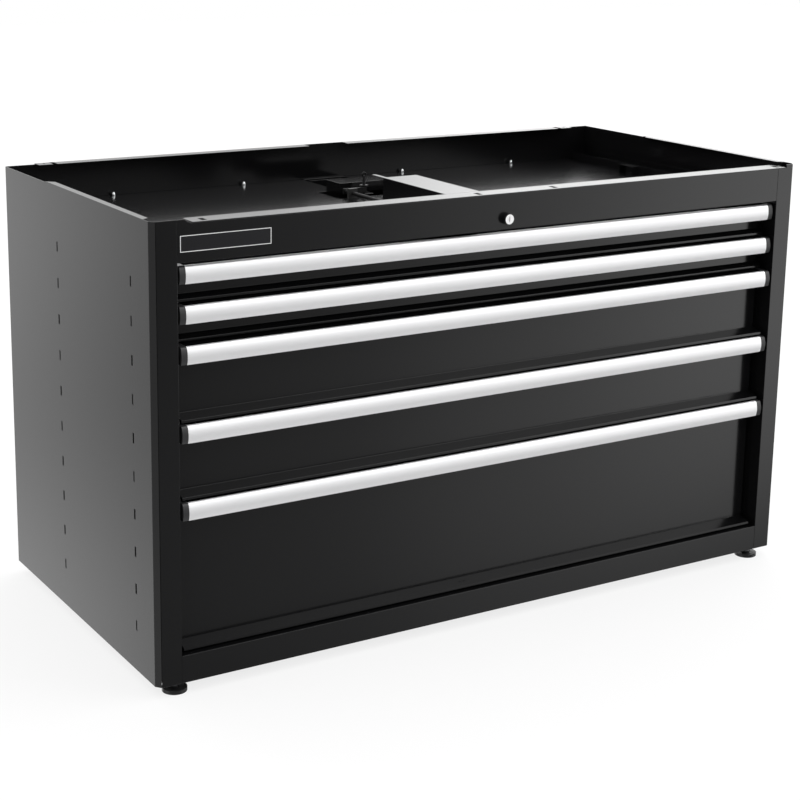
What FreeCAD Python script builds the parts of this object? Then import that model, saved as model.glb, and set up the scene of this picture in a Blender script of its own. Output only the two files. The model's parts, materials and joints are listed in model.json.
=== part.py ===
import FreeCAD, Part
import os
import re
import Sketcher

# Base cabinet with five drawers, in millimetres
# Every sub-part is drawn from the cabinet's own datum: X from the middle plane,
# Y from the front face of the posts and Z from the underside of the sheet metal.
# A placement then sets the part over its footprint, standing on its levelling feet.

SIZES = {
    "width": 1450,
    "depth": 700,
    "module_high": 70,
    "base_high": 53,
    "fascia_gap": 6.5,
    "fascia_high": 67,
    "rim_high": 7,
    "sheet": 1.5,
    "fit_gap": 0.3,
    "run_gap": 0.1,
    "bevel_x": 8.5,
    "bevel_y": 10.5,
    "seam": 0.6,
    "post_wide": 48,
    "post_deep": 34,
    "post_return": 14,
    "post_notch_wide": 22.5,
    "foot_room": 16,
    "side_lip": 14,
    "side_lip_front": 35,
    "side_lip_back": 475,
    "side_lip_taper": 12,
    "side_dip": 2,
    "bottom_lip": 15,
    "slot_high": 18.6,
    "slot_wide": 5,
    "slot_front": 86.5,
    "slot_back": 427.5,
    "slide_mid": 34.5,
    "rail_high": 51.5,
    "rail_top_deep": 30,
    "rail_flange_deep": 60,
    "rail_flange_inset": 17,
    "base_front": 40,
    "base_back_gap": 40,
    "rear_rail_high": 40,
    "rear_lip_deep": 27,
    "rear_lip_inner": 48,
    "rear_tab_inset": 61,
    "rear_tab_wide": 30,
    "rear_tab_gap": 9,
    "rear_tab_hole": 3,
    "spine_half": 40,
    "spine_flange": 15,
    "spine_deep": 15,
    "spine_cap_deep": 9,
    "strip_left_gap": 29,
    "strip_right_over": 21,
    "strip_deep": 41,
    "strip_flange": 20,
    "strip_slot_long": 18,
    "strip_slot_wide": 9,
    "strip_slot_y": 17,
    "slot_end_left": 26,
    "slot_inner_left": 58,
    "slot_inner_right": 115,
    "slot_end_right": 14,
    "fascia_tab": 14,
    "fascia_tab_slope": 12,
    "fascia_lip": 20,
    "crossbar_left": 115,
    "crossbar_right": 38,
    "crossbar_long": 219,
    "crossbar_tongue": 9,
    "tongue_long": 42,
    "cover_deep": 71,
    "cover_inset": 60,
    "cover_edge": 19,
    "cover_front": 45,
    "cover_seam": 0.5,
    "cover_back_gap": 2,
    "gap_half": 52,
    "window_half": 105,
    "window_ahead": 28,
    "window_behind": 61,
    "clip_inset": 10,
    "clip_wide": 19,
    "clip_front": 413,
    "clip_back": 458,
    "clip_high": 20,
    "ledge_wide": 28,
    "ledge_rise": 4.5,
    "ledge_front": 60,
    "screw_inner": 200,
    "screw_outer": 500,
    "screw_inset": 10,
    "screw_head_r": 4,
    "screw_head_high": 8.5,
    "hole_r": 2,
    "near_hole_x": 270,
    "near_hole_y": 440,
    "far_hole_x": 455,
    "far_hole_y": 590,
    "screw_r": 2,
    "bracket_half": 70,
    "bracket_gap": 27,
    "bracket_deep": 57,
    "bracket_high": 21,
    "bracket_tab_left": 17,
    "bracket_tab_right": 18,
    "bracket_tab_ahead": 11,
    "lock_x": 4,
    "lock_drop": 53.5,
    "lock_proud": 11,
    "lock_r": 11,
    "lock_body_r": 10.4,
    "lock_bore_r": 9.45,
    "lock_body_long": 28,
    "key_wide": 2.8,
    "key_high": 11,
    "key_bulge_r": 2.2,
    "key_bulge_left": 0.9,
    "key_deep": 6,
    "cam_high": 12,
    "cam_half": 5,
    "cam_thick": 3,
    "cam_throw": 8,
    "cam_pin_r": 2,
    "shaft_x": 76,
    "shaft_rise": 10,
    "shaft_r": 4,
    "arm_half": 6,
    "arm_thick": 6,
    "front_arm_y": 34,
    "front_arm_reach": 78,
    "front_arm_tail": 70,
    "front_tail_rise": 4,
    "rear_arm_reach": 49,
    "rear_arm_thick": 4,
    "bush_half": 10,
    "bush_long": 8,
    "bush_front": 60,
    "bush_back_gap": 2,
    "bar_x": 28,
    "bar_gap": 16,
    "bar_r": 3,
    "bar_half": 8,
    "bar_thick": 3,
    "bar_foot": 6,
    "bar_strip_top": 9,
    "eye_r": 4.2,
    "eye_wire_r": 1.6,
    "eye_rise": 40.5,
    "collar_r": 9,
    "collar_thick": 3,
    "hook_tip": 2,
    "hook_long": 11.5,
    "hook_high": 10,
    "hook_gap": 2,
    "catch_z": 34,
    "catch_high": 8,
    "catch_deep": 10,
    "catch_half": 10,
    "catch_thick": 2,
    "guide_high": 15,
    "guide_half": 8,
    "foot_inset": 45,
    "foot_y": 27,
    "foot_drop": 22,
    "foot_r": 22.8,
    "foot_thick": 7,
    "foot_neck_r": 9,
    "foot_neck_high": 3,
    "stem_r": 5,
    "stem_top": 12,
    "nut_flats": 15,
    "nut_high": 8,
    "plate_gap": 4,
    "plate_wide": 174,
    "plate_high": 30,
    "plate_drop": 26.5,
    "plate_thick": 1.2,
    "slide_gap": 1,
    "slide_wide": 12.7,
    "slide_high": 45,
    "slide_wall": 1.2,
    "slide_lip": 10,
    "slide_front": 50,
    "slide_end_gap": 4,
    "carrier_half": 19,
    "carrier_lip": 9,
    "carrier_front": 60,
    "carrier_end_gap": 4,
    "tongue_high": 18,
    "tongue_wide": 4.4,
    "tongue_deep": 0.5,
    "front_gap": 9,
    "front_sheet": 1.2,
    "front_deep": 7,
    "front_top_gap": 3,
    "front_lap": 10,
    "panel_low": 36,
    "panel_high": 40,
    "lip_low": 11,
    "lip_high": 26,
    "lip_bottom": 2.5,
    "lip_hem": 5,
    "lip_band": 7,
    "drain_r": 1.5,
    "drain_left": 72,
    "drain_right": 62.5,
    "box_sheet": 1,
    "box_lift": 8,
    "box_drop": 12,
    "box_back": 460,
    "cap_gap": 5.4,
    "grip_high": 32,
    "grip_front": 6,
    "grip_bulge": 3,
    "grip_wall": 2,
    "grip_leg": 22,
    "cap_long": 11.6,
}

DRAWERS = {
    "drawer_1": {"row": 9, "modules": 1, "panel": "panel_high", "lip": "lip_high"},
    "drawer_2": {"row": 8, "modules": 1, "panel": "panel_high", "lip": "lip_high"},
    "drawer_3": {"row": 6, "modules": 2, "panel": "panel_low", "lip": "lip_low"},
    "drawer_4": {"row": 4, "modules": 2, "panel": "panel_low", "lip": "lip_low"},
    "drawer_5": {"row": 0, "modules": 4, "panel": "panel_low", "lip": "lip_low"},
}
SLOT_ROWS = 10
SIDES = {"left": -1, "right": 1}

# Heights and planes that several sub-parts share
CABINET_TOP = f"(base_high + {SLOT_ROWS} * module_high + fascia_gap + fascia_high + rim_high)"
FASCIA_BOTTOM = f"(base_high + {SLOT_ROWS} * module_high + fascia_gap)"
FASCIA_TOP = f"({FASCIA_BOTTOM} + fascia_high)"
STRIP_TOP = f"({FASCIA_TOP} + sheet)"
COVER_TOP = f"({STRIP_TOP} - cover_deep)"
COVER_UNDER = f"({COVER_TOP} - sheet)"
LEDGE_UNDER = f"({COVER_UNDER} - sheet)"
HALF = "(width / 2)"
INNER_HALF = f"({HALF} - sheet)"
OPENING_HALF = f"({HALF} - post_wide)"
SLIDE_X = f"({OPENING_HALF} - slide_gap)"
BOX_X = f"({SLIDE_X} - slide_wide)"
REAR_IN = "(depth - sheet)"
STRIP_LEFT = f"(strip_left_gap - {OPENING_HALF})"
STRIP_RIGHT = f"({OPENING_HALF} + strip_right_over)"
STRIP_SLOTS = (
    f"({STRIP_LEFT} + slot_end_left)",
    "(0 - slot_inner_left)",
    "slot_inner_right",
    f"({STRIP_RIGHT} - slot_end_right)",
)
LOCK_X = "(0 - lock_x)"
LOCK_Z = f"({CABINET_TOP} - lock_drop)"
SHAFT_X = "(0 - shaft_x)"
SHAFT_Z = f"({COVER_TOP} + shaft_rise)"
BAR_X = "(0 - bar_x)"
BAR_Y = "(box_back + bar_gap)"
COVER_HALF = f"({HALF} - cover_inset)"
FRONT_HALF = f"({OPENING_HALF} - front_gap)"
GRIP_HALF = f"({OPENING_HALF} - cap_gap - cap_long)"
FLANGE_HALF = f"({HALF} - rail_flange_inset)"
FOOT_X = f"({HALF} - foot_inset)"
SLIDE_END = "(box_back - slide_end_gap)"
WINDOW_FRONT = f"({BAR_Y} - window_ahead)"
WINDOW_BACK = f"({BAR_Y} + window_behind)"
BRACKET_FRONT = f"({BAR_Y} + bracket_gap)"
FACE_Y = "(0 - (depth - lock_proud) / 2)"

doc = FreeCAD.newDocument("base_cabinet")
sheet = doc.addObject("Spreadsheet::Sheet", "sizes")
for line, (word, size) in enumerate(SIZES.items(), start=1):
    sheet.set(f"A{line}", word)
    sheet.set(f"B{line}", str(size))
    sheet.setAlias(f"B{line}", word)
doc.recompute()

WORDS = re.compile(r"\b(" + "|".join(sorted(SIZES, key=len, reverse=True)) + r")\b")
parts = {}


def bound(text):
    """The expression with each named size pointing at its cell."""
    return WORDS.sub(r"sizes.\1", text)


def value(text):
    """The expression's present value."""
    return float(sheet.evalExpression(bound(text)))


def neg(text):
    return f"(0 - ({text}))"


def mirrored(sign, text):
    """A distance from the middle plane, on the left or the right."""
    return text if sign > 0 else neg(text)


def span(sign, inner, outer):
    """Start and end of a pad along X that lies on one side of the middle plane."""
    return (inner, outer) if sign > 0 else (neg(outer), neg(inner))


def rectangle(left, right, low, high):
    return [(left, low), (right, low), (right, high), (left, high)]


def circle(across, up, radius):
    return ("circle", across, up, radius)


def new_body(name, z="0"):
    """An empty body whose datum is the cabinet's, raised by z."""
    body = doc.addObject("PartDesign::Body", name)
    place(body, z)
    return body


def place(part, z="0"):
    part.setExpression("Placement.Base.y", bound(FACE_Y))
    part.setExpression("Placement.Base.z", bound(f"foot_drop + {z}"))


def finish(part, label):
    part.Label = label
    parts[label] = part


def draw_circle(drawing, loop):
    across, up, radius = loop[1:]
    centre = FreeCAD.Vector(value(across), value(up), 0)
    ring = drawing.addGeometry(Part.Circle(centre, FreeCAD.Vector(0, 0, 1), value(radius)), False)
    for kind, text in (("DistanceX", across), ("DistanceY", up)):
        number = drawing.addConstraint(Sketcher.Constraint(kind, -1, 1, ring, 3, value(text)))
        drawing.setExpression(f"Constraints[{number}]", bound(text))
    number = drawing.addConstraint(Sketcher.Constraint("Radius", ring, value(radius)))
    drawing.setExpression(f"Constraints[{number}]", bound(radius))


def draw_arc(drawing, start, end, radius):
    """An arc from start to end that bulges to the right of its direction of travel."""
    along = end - start
    half = along.Length / 2
    sagitta = radius - (radius ** 2 - half ** 2) ** 0.5
    outward = FreeCAD.Vector(along.y, -along.x, 0).normalize()
    crown = (start + end) / 2 + outward * sagitta
    return drawing.addGeometry(Part.Arc(start, crown, end), False)


def draw_outline(drawing, loop):
    """A closed outline; a point with a third value starts an arc of that radius."""
    points = [FreeCAD.Vector(value(point[0]), value(point[1]), 0) for point in loop]
    ends = []
    for index, point in enumerate(loop):
        start = points[index]
        end = points[(index + 1) % len(points)]
        if len(point) == 2:
            edge = drawing.addGeometry(Part.LineSegment(start, end), False)
        else:
            edge = draw_arc(drawing, start, end, value(point[2]))
        forward = (drawing.getPoint(edge, 1) - start).Length < (drawing.getPoint(edge, 2) - start).Length
        ends.append((edge, 1, 2) if forward else (edge, 2, 1))
    joins = []
    for index, (edge, first, last) in enumerate(ends):
        following = ends[(index + 1) % len(ends)]
        joins.append(Sketcher.Constraint("Coincident", edge, last, following[0], following[1]))
    drawing.addConstraint(joins)
    for index, point in enumerate(loop):
        edge, first, last = ends[index]
        for kind, text in (("DistanceX", point[0]), ("DistanceY", point[1])):
            number = drawing.addConstraint(Sketcher.Constraint(kind, -1, 1, edge, first, value(text)))
            drawing.setExpression(f"Constraints[{number}]", bound(text))
        if len(point) == 3:
            number = drawing.addConstraint(Sketcher.Constraint("Radius", edge, value(point[2])))
            drawing.setExpression(f"Constraints[{number}]", bound(point[2]))


def sketch(body, plane, loops, offset):
    drawing = body.newObject("Sketcher::SketchObject", f"{body.Name}_sketch")
    origin = next(f for f in body.Origin.OriginFeatures if f.Role == plane)
    drawing.AttachmentSupport = [(origin, "")]
    drawing.MapMode = "FlatFace"
    drawing.setExpression("AttachmentOffset.Base.z", bound(offset))
    for loop in loops:
        if loop[0] == "circle":
            draw_circle(drawing, loop)
        else:
            draw_outline(drawing, loop)
    return drawing


def pad(body, plane, loops, start, end):
    """Material between two planes; a front-view sketch looks along +Y, so it counts backwards."""
    offset = neg(end) if plane == "XZ_Plane" else start
    feature = body.newObject("PartDesign::Pad", f"{body.Name}_pad")
    feature.Profile = sketch(body, plane, loops, offset)
    feature.setExpression("Length", bound(f"({end}) - ({start})"))
    body.Tip = feature
    return feature


def pocket(body, plane, loops, start, end):
    """A cut between two planes."""
    offset = neg(start) if plane == "XZ_Plane" else end
    before = body.Shape.Volume
    feature = body.newObject("PartDesign::Pocket", f"{body.Name}_pocket")
    feature.Profile = sketch(body, plane, loops, offset)
    feature.setExpression("Length", bound(f"({end}) - ({start})"))
    body.Tip = feature
    doc.recompute()
    if body.Shape.Volume >= before:
        raise ValueError(f"a pocket of {body.Name} cuts nothing")
    return feature


def cylinder(name, axis, across, up, radius, start, end):
    """A cylinder along Y or Z between two planes."""
    rod = doc.addObject("Part::Cylinder", name)
    rod.setExpression("Radius", bound(radius))
    rod.setExpression("Height", bound(f"({end}) - ({start})"))
    if axis == "Y":
        rod.Placement = FreeCAD.Placement(FreeCAD.Vector(), FreeCAD.Rotation(FreeCAD.Vector(1, 0, 0), -90))
        where = {"x": across, "y": start, "z": up}
    else:
        where = {"x": across, "y": up, "z": start}
    for direction, text in where.items():
        rod.setExpression(f"Placement.Base.{direction}", bound(text))
    return rod


def block(name, x, y, z):
    """A box between pairs of planes."""
    solid = doc.addObject("Part::Box", name)
    for direction, size, (low, high) in zip("xyz", ("Length", "Width", "Height"), (x, y, z)):
        solid.setExpression(f"Placement.Base.{direction}", bound(low))
        solid.setExpression(size, bound(f"({high}) - ({low})"))
    return solid


def fuse(name, solids):
    whole = doc.addObject("Part::MultiFuse", name)
    whole.Shapes = solids
    return whole


def cut(name, base, tool):
    rest = doc.addObject("Part::Cut", name)
    rest.Base = base
    rest.Tool = tool
    return rest


def group(name, solids, z="0"):
    """Identical or paired solids that share one node."""
    whole = doc.addObject("Part::Compound", name)
    whole.Links = solids
    place(whole, z)
    finish(whole, name)


def side_panel(name, sign):
    """Outer sheet with its bevelled front edge, slot rows, and folded top and bottom edges."""
    body = new_body(name)
    edge = f"({HALF} - bevel_x)"
    pad(body, "XY_Plane", [[
        (mirrored(sign, edge), "0"),
        (mirrored(sign, HALF), "bevel_y"),
        (mirrored(sign, HALF), "depth"),
        (mirrored(sign, INNER_HALF), "depth"),
        (mirrored(sign, INNER_HALF), "bevel_y + sheet / 2"),
        (mirrored(sign, edge), "sheet * 1.6"),
    ]], "0", CABINET_TOP)
    slots = []
    for row in range(SLOT_ROWS):
        middle = f"base_high + slide_mid + {row} * module_high"
        for column in ("slot_front", "slot_back"):
            slots.append(rectangle(f"{column} - slot_wide / 2", f"{column} + slot_wide / 2",
                                   f"{middle} - slot_high / 2", f"{middle} + slot_high / 2"))
    doc.recompute()
    start, end = span(sign, INNER_HALF, HALF)
    pocket(body, "YZ_Plane", slots, start, end)
    pocket(body, "YZ_Plane", [[
        ("side_lip_back", CABINET_TOP),
        ("side_lip_back + side_lip_taper", f"{CABINET_TOP} - side_dip"),
        ("depth", f"{CABINET_TOP} - side_dip"),
        ("depth", CABINET_TOP),
    ]], start, end)
    inner = mirrored(sign, INNER_HALF)
    lip = mirrored(sign, f"{HALF} - side_lip")
    pad(body, "XY_Plane", [[
        (inner, "side_lip_front"),
        (inner, "side_lip_back"),
        (lip, "side_lip_back - side_lip_taper"),
        (lip, "side_lip_front + side_lip_taper / 2"),
    ]], f"{CABINET_TOP} - sheet", CABINET_TOP)
    low = mirrored(sign, f"{HALF} - bottom_lip")
    pad(body, "XY_Plane", [[
        (inner, "rail_flange_deep"),
        (inner, f"{REAR_IN} - rail_flange_deep"),
        (low, f"{REAR_IN} - rail_flange_deep"),
        (low, "rail_flange_deep"),
    ]], "0", "sheet")
    finish(body, name)


def front_post(name, sign):
    """Folded post: face, deep inner return and rear flange, open above the foot."""
    body = new_body(name)
    face = f"({HALF} - bevel_x - seam)"
    near = mirrored(sign, OPENING_HALF)
    pad(body, "XY_Plane", [[
        (near, "0"),
        (mirrored(sign, face), "0"),
        (mirrored(sign, face), "sheet"),
        (mirrored(sign, f"{OPENING_HALF} + sheet"), "sheet"),
        (mirrored(sign, f"{OPENING_HALF} + sheet"), "post_deep - sheet"),
        (mirrored(sign, INNER_HALF), "post_deep - sheet"),
        (mirrored(sign, INNER_HALF), "post_deep"),
        (near, "post_deep"),
    ]], "0", CABINET_TOP)
    start, end = span(sign, OPENING_HALF, f"{OPENING_HALF} + sheet")
    pad(body, "XY_Plane", [rectangle(start, end, "post_deep - sheet", "post_deep + post_return")],
        "rail_high", FASCIA_BOTTOM)
    doc.recompute()
    start, end = span(sign, OPENING_HALF, INNER_HALF)
    pocket(body, "YZ_Plane", [rectangle("sheet", "post_deep", "0", "foot_room")], start, end)
    start, end = span(sign, OPENING_HALF, face)
    pocket(body, "XY_Plane", [rectangle(start, end, "sheet", "post_deep")],
           f"{CABINET_TOP} - rim_high", CABINET_TOP)
    if sign > 0:
        start, end = span(sign, OPENING_HALF, f"{OPENING_HALF} + post_notch_wide")
        pocket(body, "XZ_Plane", [rectangle(start, end, FASCIA_TOP, CABINET_TOP)], "0", "post_deep")
    finish(body, name)


def fascia_panel():
    body = new_body("fascia_panel")
    tab = f"(0 - {OPENING_HALF} + fascia_tab)"
    pad(body, "XZ_Plane", [[
        (neg(OPENING_HALF), FASCIA_BOTTOM),
        (OPENING_HALF, FASCIA_BOTTOM),
        (OPENING_HALF, FASCIA_TOP),
        (f"{tab} + fascia_tab_slope", FASCIA_TOP),
        (tab, CABINET_TOP),
        (neg(OPENING_HALF), CABINET_TOP),
    ], circle(LOCK_X, LOCK_Z, "lock_body_r + run_gap")], "0", "sheet")
    pad(body, "XY_Plane", [rectangle(neg(OPENING_HALF), OPENING_HALF, "sheet", "fascia_lip")],
        FASCIA_BOTTOM, f"{FASCIA_BOTTOM} + sheet")
    finish(body, "fascia_panel")


def top_rail_plate():
    """Flat rim strip with four slots for fixing a worktop, and a stiffening flange behind."""
    body = new_body("top_rail_plate")
    loops = [rectangle(STRIP_LEFT, STRIP_RIGHT, "0", "strip_deep")]
    for centre in STRIP_SLOTS:
        loops.append(rectangle(f"{centre} - strip_slot_wide / 2", f"{centre} + strip_slot_wide / 2",
                               "strip_slot_y - strip_slot_long / 2", "strip_slot_y + strip_slot_long / 2"))
    pad(body, "XY_Plane", loops, FASCIA_TOP, STRIP_TOP)
    pad(body, "XZ_Plane", [rectangle(STRIP_LEFT, f"{OPENING_HALF} - fit_gap",
                                     f"{FASCIA_TOP} - strip_flange", FASCIA_TOP)],
        "strip_deep - sheet", "strip_deep")
    finish(body, "top_rail_plate")


def bottom_rail():
    body = new_body("bottom_rail")
    pad(body, "XZ_Plane", [rectangle(neg(OPENING_HALF), OPENING_HALF, "0", "rail_high")], "0", "sheet")
    pad(body, "XY_Plane", [rectangle(neg(OPENING_HALF), OPENING_HALF, "sheet", "rail_top_deep")],
        "rail_high - sheet", "rail_high")
    holes = [circle(mirrored(sign, FOOT_X), "foot_y", "stem_r + run_gap") for sign in SIDES.values()]
    plate = rectangle(neg(FLANGE_HALF), FLANGE_HALF, "sheet", "rail_flange_deep")
    pad(body, "XY_Plane", [plate] + holes, "0", "sheet")
    finish(body, "bottom_rail")


def rear_rail():
    body = new_body("rear_rail")
    behind = f"({REAR_IN} - sheet)"
    pad(body, "XZ_Plane", [rectangle(neg(FLANGE_HALF), FLANGE_HALF, "0", "rear_rail_high")],
        behind, REAR_IN)
    holes = [circle(mirrored(sign, FOOT_X), "depth - foot_y", "stem_r + run_gap")
             for sign in SIDES.values()]
    plate = rectangle(neg(FLANGE_HALF), FLANGE_HALF, f"{REAR_IN} - rail_flange_deep", behind)
    pad(body, "XY_Plane", [plate] + holes, "0", "sheet")
    finish(body, "rear_rail")


def base_panel():
    body = new_body("base_panel")
    pad(body, "XY_Plane", [rectangle(neg(INNER_HALF), INNER_HALF, "base_front", "depth - base_back_gap")],
        "sheet", "2 * sheet")
    finish(body, "base_panel")


def rear_panel():
    """Back sheet with folded top edges: two long flanges, and a drilled tab near each corner."""
    body = new_body("rear_panel")
    low = f"{CABINET_TOP} - side_dip"
    tab_outer = f"({HALF} - rear_tab_inset)"
    tab_inner = f"({tab_outer} - rear_tab_wide)"
    lip_outer = f"({tab_inner} - rear_tab_gap)"
    pad(body, "XZ_Plane", [[
        (neg(INNER_HALF), "0"),
        (INNER_HALF, "0"),
        (INNER_HALF, low),
        (tab_outer, low),
        (tab_outer, CABINET_TOP),
        (neg(tab_outer), CABINET_TOP),
        (neg(tab_outer), low),
        (neg(INNER_HALF), low),
    ]], REAR_IN, "depth")
    front = "depth - rear_lip_deep"
    for sign in SIDES.values():
        flange = rectangle(mirrored(sign, "rear_lip_inner"), mirrored(sign, lip_outer), front, REAR_IN)
        tab = rectangle(mirrored(sign, tab_inner), mirrored(sign, tab_outer), front, REAR_IN)
        middle = f"({tab_inner} + {tab_outer}) / 2"
        hole = circle(mirrored(sign, middle), "depth - rear_lip_deep / 2", "rear_tab_hole")
        pad(body, "XY_Plane", [flange, tab, hole], f"{CABINET_TOP} - sheet", CABINET_TOP)
    finish(body, "rear_panel")


def rear_spine():
    """Hat-section stiffener down the middle of the back, capped between the covers."""
    body = new_body("rear_spine")
    web = f"({REAR_IN} - spine_deep)"
    foot = f"({REAR_IN} - sheet)"
    outer = "(spine_half + spine_flange)"
    inner = "(spine_half - sheet)"
    pad(body, "XY_Plane", [[
        (neg(outer), REAR_IN),
        (neg(outer), foot),
        ("0 - spine_half", foot),
        ("0 - spine_half", web),
        ("spine_half", web),
        ("spine_half", foot),
        (outer, foot),
        (outer, REAR_IN),
        (inner, REAR_IN),
        (inner, f"{web} + sheet"),
        (neg(inner), f"{web} + sheet"),
        (neg(inner), REAR_IN),
    ]], "rear_rail_high", COVER_UNDER)
    cap = "(gap_half - fit_gap)"
    pad(body, "XY_Plane", [rectangle(neg(cap), cap, f"{REAR_IN} - spine_cap_deep", REAR_IN)],
        COVER_UNDER, f"{COVER_UNDER} + 2 * sheet")
    finish(body, "rear_spine")


def crossbar_channel():
    """Folded channel that stands on the covers behind the lock, with a tongue at its far corner."""
    body = new_body("crossbar_channel")
    left = "(0 - crossbar_left)"
    right = "(0 - crossbar_right)"
    pad(body, "XZ_Plane", [[
        (left, COVER_TOP),
        (f"{left} + sheet", COVER_TOP),
        (f"{left} + sheet", f"{STRIP_TOP} - sheet"),
        (f"{right} - sheet", f"{STRIP_TOP} - sheet"),
        (f"{right} - sheet", COVER_TOP),
        (right, COVER_TOP),
        (right, STRIP_TOP),
        (left, STRIP_TOP),
    ]], "strip_deep", "strip_deep + crossbar_long")
    end = "(strip_deep + crossbar_long)"
    pad(body, "YZ_Plane", [rectangle(f"{end} - sheet", f"{end} + tongue_long",
                                     f"{STRIP_TOP} - sheet", STRIP_TOP)], left, f"{left} + crossbar_tongue")
    finish(body, "crossbar_channel")


def dust_cover(name, sign):
    """Closing sheet above the top drawer, with an upturned outer edge and a folded clip."""
    body = new_body(name)
    back = f"({REAR_IN} - sheet - cover_back_gap)"
    seam = mirrored(sign, "cover_seam / 2")
    edge = mirrored(sign, COVER_HALF)
    window = mirrored(sign, "window_half")
    gap = mirrored(sign, "gap_half")
    holes = [circle(mirrored(sign, across), f"{REAR_IN} - screw_inset", "screw_r + run_gap")
             for across in ("screw_inner", "screw_outer")]
    holes += [circle(mirrored(sign, f"{place}_hole_x"), f"{place}_hole_y", "hole_r")
              for place in ("near", "far")]
    pad(body, "XY_Plane", [[
        (seam, "cover_front"),
        (edge, "cover_front"),
        (edge, back),
        (gap, back),
        (gap, WINDOW_BACK),
        (window, WINDOW_BACK),
        (window, WINDOW_FRONT),
        (seam, WINDOW_FRONT),
    ]] + holes, COVER_UNDER, COVER_TOP)
    start, end = span(sign, f"{COVER_HALF} - sheet", COVER_HALF)
    pad(body, "YZ_Plane", [rectangle("cover_front", f"{back} - ledge_wide",
                                     COVER_TOP, f"{COVER_TOP} + cover_edge")], start, end)
    start, end = span(sign, f"{COVER_HALF} - clip_inset - clip_wide", f"{COVER_HALF} - clip_inset")
    pad(body, "YZ_Plane", [[
        ("clip_front", COVER_TOP),
        ("clip_front + sheet", COVER_TOP),
        ("clip_front + sheet", f"{COVER_TOP} + clip_high - sheet"),
        ("clip_back - sheet", f"{COVER_TOP} + clip_high - sheet"),
        ("clip_back - sheet", COVER_TOP),
        ("clip_back", COVER_TOP),
        ("clip_back", f"{COVER_TOP} + clip_high"),
        ("clip_front", f"{COVER_TOP} + clip_high"),
    ]], start, end)
    finish(body, name)


def cover_ledges():
    """Angles on the side panels and the back that carry the covers."""
    angles = []
    for side, sign in SIDES.items():
        body = doc.addObject("PartDesign::Body", f"side_ledge_{side}")
        inner = f"({INNER_HALF} - sheet)"
        pad(body, "XZ_Plane", [[
            (mirrored(sign, f"{COVER_HALF} - ledge_wide / 2"), LEDGE_UNDER),
            (mirrored(sign, INNER_HALF), LEDGE_UNDER),
            (mirrored(sign, INNER_HALF), f"{COVER_TOP} + cover_edge"),
            (mirrored(sign, inner), f"{COVER_TOP} + cover_edge"),
            (mirrored(sign, inner), COVER_UNDER),
            (mirrored(sign, f"{COVER_HALF} - ledge_wide / 2"), COVER_UNDER),
        ]], "ledge_front", f"{REAR_IN} - ledge_wide - fit_gap")
        angles.append(body)
        body = doc.addObject("PartDesign::Body", f"rear_ledge_{side}")
        start, end = span(sign, "spine_half + spine_flange + fit_gap", COVER_HALF)
        holes = [circle(mirrored(sign, across), f"{REAR_IN} - screw_inset", "screw_r + run_gap")
                 for across in ("screw_inner", "screw_outer")]
        pad(body, "XY_Plane", [rectangle(start, end, f"{REAR_IN} - ledge_wide", REAR_IN)] + holes,
            LEDGE_UNDER, COVER_UNDER)
        pad(body, "XZ_Plane", [rectangle(start, end, COVER_UNDER, f"{COVER_UNDER} + ledge_rise")],
            f"{REAR_IN} - sheet", REAR_IN)
        angles.append(body)
    group("cover_ledges", angles)


def cover_screws():
    """Domed screws through the covers into the rear ledge."""
    screws = []
    for sign in SIDES.values():
        for across in ("screw_inner", "screw_outer"):
            x = mirrored(sign, across)
            y = f"{REAR_IN} - screw_inset"
            shank = cylinder("screw_shank", "Z", x, y, "screw_r", LEDGE_UNDER, COVER_TOP)
            ball = doc.addObject("Part::Ellipsoid", "screw_dome")
            ball.Angle1 = 0
            ball.setExpression("Radius1", bound("screw_head_high"))
            ball.setExpression("Radius2", bound("screw_head_r"))
            for direction, text in zip("xyz", (x, y, COVER_TOP)):
                ball.setExpression(f"Placement.Base.{direction}", bound(text))
            screws.append(fuse("cover_screw", [shank, ball]))
    group("cover_screws", screws)


def lock_bracket():
    """Box over the gap between the covers, with a forward tab that guides the locking bar."""
    body = new_body("lock_bracket")
    top = f"({COVER_TOP} + bracket_high)"
    inner = "(bracket_half - sheet)"
    pad(body, "XZ_Plane", [[
        ("0 - bracket_half", COVER_TOP),
        (neg(inner), COVER_TOP),
        (neg(inner), f"{top} - sheet"),
        (inner, f"{top} - sheet"),
        (inner, COVER_TOP),
        ("bracket_half", COVER_TOP),
        ("bracket_half", top),
        ("0 - bracket_half", top),
    ]], BRACKET_FRONT, f"{BRACKET_FRONT} + bracket_deep")
    pad(body, "XZ_Plane", [rectangle("0 - bracket_half", "bracket_half", COVER_TOP, top)],
        BRACKET_FRONT, f"{BRACKET_FRONT} + sheet")
    tab = rectangle(f"{BAR_X} - bracket_tab_left", f"{BAR_X} + bracket_tab_right",
                    f"{BAR_Y} - bracket_tab_ahead", BRACKET_FRONT)
    pad(body, "XY_Plane", [tab, circle(BAR_X, BAR_Y, "bar_r + run_gap")],
        COVER_TOP, f"{COVER_TOP} + sheet")
    finish(body, "lock_bracket")


def lock_cylinder():
    """Barrel of the lock with its proud bezel."""
    bezel = cylinder("lock_bezel", "Y", LOCK_X, LOCK_Z, "lock_r", "0 - lock_proud", "0")
    barrel = cylinder("lock_barrel", "Y", LOCK_X, LOCK_Z, "lock_body_r", "0", "lock_body_long")
    bore = cylinder("lock_bore", "Y", LOCK_X, LOCK_Z, "lock_bore_r",
                    "0 - lock_proud - 1", "lock_body_long + 1")
    whole = cut("lock_cylinder", fuse("lock_shell", [bezel, barrel]), bore)
    place(whole)
    finish(whole, "lock_cylinder")


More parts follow.
